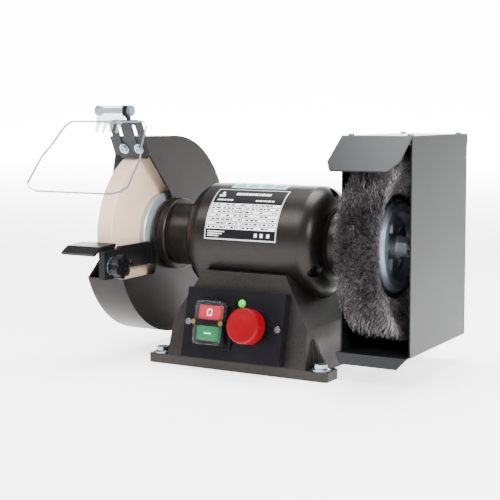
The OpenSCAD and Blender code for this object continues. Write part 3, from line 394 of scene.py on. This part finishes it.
# Signs on the two push buttons: an open rectangle of four strips (x0, x1, up0, up1), and a bar
KEY_MID_UP, KEY_PITCH = 38.3, 22.0
KEY_TOP, SIGN_TOP = 24.2, 24.28
BAR_HALF_LONG, BAR_HALF_TALL = 4.2, 0.6
key_x = middle_x("stop_button")
stop_up = KEY_MID_UP + KEY_PITCH / 2
start_up = KEY_MID_UP - KEY_PITCH / 2
sign_cells = [
    (-2.4, 2.4, 2.7, 3.6),
    (-2.4, 2.4, -3.6, -2.7),
    (-2.9, -2.0, -3.1, 3.1),
    (2.0, 2.9, -3.1, 3.1),
]
ring = [(key_x + a, key_x + b, stop_up + c, stop_up + d, KEY_TOP, SIGN_TOP) for a, b, c, d in sign_cells]
bar_x = (key_x - BAR_HALF_LONG, key_x + BAR_HALF_LONG)
bar = [(*bar_x, start_up - BAR_HALF_TALL, start_up + BAR_HALF_TALL, KEY_TOP, SIGN_TOP)]
piece("stop_sign", *boxes(ring, on_slope), white, "stop_key", "red_plastic")
piece("start_sign", *boxes(bar, on_slope), white, "start_key", "green_plastic")


# Wire brush: a near-black root of painted shade, for the shadow deep between the packed wires, and thousands
# of crimped wires that fan out from the discs.
# Pairs of numbers are (radius, half width) or (x, radius), in mm.
BRUSH_X = middle_x("wire_brush")
HALF_WIDTHS = ((36, 3.3), (49, 3.3), (64, 8), (80, 17), (90, 23.5), (99, 22))
ROOT_SIDES = 96
ROOT_HALF = [(-3.0, 37), (-3.0, 48), (-6, 62), (-12, 76), (-17, 86)]
STRANDS = 30000
STRAND_STEPS = 6
WIRE_REACH = 98.6
WIRE_SPILL = 0.8
FULL_TURN, THIRD_TURN = 6.28, 2.094

# How each wire is drawn. A range is (lowest, highest), and RIM_END is (mean, deviation). Radii and
# lengths are in mm, and SIDE_PLACE is a share of the half width.
RIM_SHARE = 0.55
RIM_START, RIM_END = (72, 84), (94.5, 1.9)
SIDE_PLACE, SIDE_START, SIDE_LENGTH, SIDE_FLARE = (0.78, 1.02), (54, 84), (7, 16), 0.9
SHORTEST_WIRE = 4
TURN_DEVIATION, LEAN_DEVIATION = 0.055, 0.13
CRIMP, CRIMP_RATE, CRIMP_SIDEWAYS = (0.4, 1.1), 0.85, 0.6
WIRE_RADIUS = (0.15, 0.27)


def half_width(r):
    """Half the brush's width at radius r."""
    for (r0, w0), (r1, w1) in zip(HALF_WIDTHS, HALF_WIDTHS[1:]):
        if r <= r1:
            return w0 + (w1 - w0) * (r - r0) / (r1 - r0)
    return HALF_WIDTHS[-1][1]


def brush_point(x, r, a):
    return Vector((BRUSH_X + x, -r * math.cos(a), SPINDLE_Z + r * math.sin(a))) * MM


# The root solid is painted shade: it darkens the brush where the wires shade each other
def brush_root():
    profile = ROOT_HALF + [(-x, r) for x, r in reversed(ROOT_HALF)]
    count = len(profile)
    verts, faces = [], []
    for i in range(ROOT_SIDES):
        verts += [brush_point(x, r, 2 * math.pi * i / ROOT_SIDES) for x, r in profile]
    for i in range(ROOT_SIDES):
        a, b = i * count, (i + 1) % ROOT_SIDES * count
        for j in range(count):
            k = (j + 1) % count
            faces.append((a + j, a + k, b + k, b + j))
    piece("brush_root", verts, faces, painted_shade_root, "spindle", "wire", smooth=True)


def strand():
    """Points of one wire, three to a ring. A wire ends at the rim or stands out of one of the two sides."""
    angle = rng.uniform(0, 2 * math.pi)
    on_rim = rng.random() < RIM_SHARE
    if on_rim:
        place, start, end = rng.uniform(-1, 1), rng.uniform(*RIM_START), rng.gauss(*RIM_END)
    else:
        place, start = rng.choice((-1, 1)) * rng.uniform(*SIDE_PLACE), rng.uniform(*SIDE_START)
        end = start + rng.uniform(*SIDE_LENGTH)
    end = min(max(end, start + SHORTEST_WIRE), WIRE_REACH)
    drift, crimp = rng.gauss(0, TURN_DEVIATION), rng.uniform(*CRIMP)
    phase = rng.uniform(0, FULL_TURN)
    lean = rng.gauss(0, LEAN_DEVIATION)
    thick = rng.uniform(*WIRE_RADIUS)
    flare = 0 if on_rim else math.copysign(SIDE_FLARE, place)
    points = []
    for step in range(STRAND_STEPS):
        share = step / (STRAND_STEPS - 1)
        r = start + (end - start) * share
        wave = crimp * math.sin(phase + share * (end - start) * CRIMP_RATE)
        limit = half_width(r) + WIRE_SPILL
        x = (place + lean * share) * half_width(r) + wave * CRIMP_SIDEWAYS + flare * share
        x = max(-limit, min(limit, x))
        turn = angle + drift * share + wave / r
        for k in range(3):
            q = THIRD_TURN * k
            points.append(brush_point(x + thick * math.cos(q), r, turn + thick * math.sin(q) / r))
    return points


def brush_wires():
    verts, faces = [], []
    for _ in range(STRANDS):
        n = len(verts)
        verts += strand()
        for s in range(n, n + 3 * (STRAND_STEPS - 1), 3):
            for k in range(3):
                faces.append((s + k, s + (k + 1) % 3, s + 3 + (k + 1) % 3, s + 3 + k))
    wires = piece("brush_wires", verts, faces, wire, "spindle", "wire")
    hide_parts("wire_brush")


brush_root()
brush_wires()


# Bright cut edge of the clear shield, and the milky rim of the switch cover
def strip(points, width, depth, normal):
    """Thin closed band that follows points; it is width wide across the band and depth deep along normal."""
    verts, faces = [], []
    count = len(points)
    centre = sum(points, Vector()) / count
    for p in points:
        inward = (centre - p).normalized() * width
        verts += [p + normal * depth, p + inward + normal * depth, p + inward, p]
    for i in range(count):
        a, b = i * 4, (i + 1) % count * 4
        for k in range(4):
            faces.append((a + k, a + (k + 1) % 4, b + (k + 1) % 4, b + k))
    return verts, faces


SHIELD_SLOPE = math.radians(50)
SHIELD_LENGTH, SHEET_OUT, SHEET_THICK, EDGE_WIDE = 108.5, -8.5, 2.5, 0.7
down = Vector((0, -math.cos(SHIELD_SLOPE), -math.sin(SHIELD_SLOPE)))
out = Vector((0, -math.sin(SHIELD_SLOPE), math.cos(SHIELD_SLOPE)))
hinge = Vector((middle_x("eye_shield"), *joint_at["shield_tilt"][1:]))
left, right = span_x("eye_shield")
half = (right - left) / 2
# Right half of the sheet's outline: x as a share of the half width, and mm down from the hinge
right_side = [
    (0.735, 9.5), (0.82, 16), (0.92, 48), (0.985, 60), (1.0, SHIELD_LENGTH - 10.5),
    (0.91, SHIELD_LENGTH - 4), (0.74, SHIELD_LENGTH),
]
outline = right_side + [(-x, d) for x, d in reversed(right_side)]
points = [(hinge + Vector((half * x, 0, 0)) + down * d + out * SHEET_OUT) * MM for x, d in outline]
verts, faces = strip(points, EDGE_WIDE * MM, SHEET_THICK * MM, out)
piece("shield_edge", verts, faces, rim_look, "shield", "clear_sheet")

# The switch cover's rim is a rounded rectangle, made of four quarter circles
COVER_TOP, CORNER_X, CORNER_UP, CORNER_R, CORNER_STEPS = 25.2, 12, 18, 5, 6
RIM_WIDE, RIM_DEEP = 1.0, 0.8
points = []
for sx, sy, first in ((1, 1, 0), (-1, 1, 90), (-1, -1, 180), (1, -1, 270)):
    for i in range(CORNER_STEPS + 1):
        a = math.radians(first + 90 * i / CORNER_STEPS)
        x = key_x + sx * CORNER_X + CORNER_R * math.cos(a)
        up = KEY_MID_UP + sy * CORNER_UP + CORNER_R * math.sin(a)
        points.append(on_slope(x, up, COVER_TOP))
panel_normal = Vector((0, -math.cos(LEAN), math.sin(LEAN)))
verts, faces = strip(points, RIM_WIDE * MM, RIM_DEEP * MM, panel_normal)
piece("boot_rim", verts, faces, boot_rim_look, "grinder_body", "clear_boot")


# ---------- floor, light and camera ----------
WORLD, HORIZON = 0.6, 2.7
HORIZON_LOW, HORIZON_HIGH = 0.02, 0.12
FLOOR_NEAR, BACKDROP_GLOW = 2.2, 9.0
GLOW_MIDDLE, GLOW_NEAR, GLOW_FAR = (-2.65, 4.5, 0.0), 1.6, 4.3
FLOOR_SIZE, FLOOR_Z = 40, -0.0005
BACKDROP_PLACE, BACKDROP_SIZE = (-2.5, 4.5, 1.1), (5.4, 2.4, 1)
WHITE = (1.0, 1.0, 1.0)


def grow(tree, value, start, end, from_value, to_value, target):
    """Links target to a value that goes from from_value to to_value as value goes from start to end."""
    change = tree.nodes.new("ShaderNodeMapRange")
    change.inputs["From Min"].default_value = start
    change.inputs["From Max"].default_value = end
    change.inputs["To Min"].default_value = from_value
    change.inputs["To Max"].default_value = to_value
    tree.links.new(value, change.inputs["Value"])
    tree.links.new(change.outputs["Result"], target)


def plane(name, look, size, **place):
    bpy.ops.mesh.primitive_plane_add(size=size, **place)
    o = bpy.context.object
    o.name = name
    o.data.materials.append(look)
    return o


# The floor glows more towards the foot of the backdrop, so that the two meet without a line
floor_look = material("floor_look", (0.93, 0.93, 0.93), roughness=0.7, spread=0.01, grain=40, bump=0.0,
                      edge=0.0, emission=FLOOR_NEAR)
plane("floor", floor_look, FLOOR_SIZE, location=(0, 0, FLOOR_Z))
tree = floor_look.node_tree
distance = tree.nodes.new("ShaderNodeVectorMath")
distance.operation = "DISTANCE"
distance.inputs[1].default_value = GLOW_MIDDLE
tree.links.new(tree.nodes.new("ShaderNodeTexCoord").outputs["Object"], distance.inputs[0])
glow_socket = tree.nodes["Principled BSDF"].inputs["Emission Strength"]
grow(tree, distance.outputs["Value"], GLOW_NEAR, GLOW_FAR, BACKDROP_GLOW, FLOOR_NEAR, glow_socket)

# The world is bright along the horizon and dimmer above it
world = bpy.data.worlds.new("studio")
bpy.context.scene.world = world
world.use_nodes = True
sky = world.node_tree
sky.nodes["Background"].inputs["Color"].default_value = (*WHITE, 1.0)
height = sky.nodes.new("ShaderNodeSeparateXYZ")
sky.links.new(sky.nodes.new("ShaderNodeTexCoord").outputs["Generated"], height.inputs[0])
sky_socket = sky.nodes["Background"].inputs["Strength"]
grow(sky, height.outputs["Z"], HORIZON_LOW, HORIZON_HIGH, HORIZON, WORLD, sky_socket)

backdrop_look = material("backdrop_look", WHITE, roughness=0.9, spread=0.01, grain=2, bump=0.0, edge=0.0,
                         emission=BACKDROP_GLOW)
backdrop = plane("backdrop", backdrop_look, 1, location=BACKDROP_PLACE, rotation=(math.pi / 2, 0, 0))
backdrop.scale = BACKDROP_SIZE


def area(name, place, target, size, power):
    """Square area light at place, size metres wide, that points at target."""
    light = bpy.data.lights.new(name, "AREA")
    light.energy = power
    light.size = size
    o = bpy.data.objects.new(name, light)
    o.location = place
    o.rotation_mode = "QUATERNION"
    o.rotation_quaternion = (Vector(target) - Vector(place)).to_track_quat("-Z", "Y")
    collection.objects.link(o)


area("key", place=(-0.7, -1.1, 1.5), target=(-0.05, 0, 0.15), size=0.8, power=33)
area("right", place=(1.3, -0.8, 0.8), target=(-0.1, 0, 0.15), size=0.5, power=42)
area("top", place=(0.0, 0.35, 1.5), target=(0, 0, 0.15), size=1.0, power=60)

CAMERA_PLACE = (0.6352, -1.1618, 0.2734)
AZIMUTH, ELEVATION = math.radians(29.69), math.radians(4.64)
camera_data = bpy.data.cameras.new("camera")
camera = bpy.data.objects.new("camera", camera_data)
collection.objects.link(camera)
camera.location = CAMERA_PLACE
level = Vector((-math.sin(AZIMUTH), math.cos(AZIMUTH), 0.0)) * math.cos(ELEVATION)
look_along = level - Vector((0, 0, math.sin(ELEVATION)))
camera.rotation_mode = "QUATERNION"
camera.rotation_quaternion = look_along.to_track_quat("-Z", "Y")
camera_data.sensor_width = 36
camera_data.lens = 86.5
camera_data.shift_y = -0.08
bpy.context.scene.camera = camera
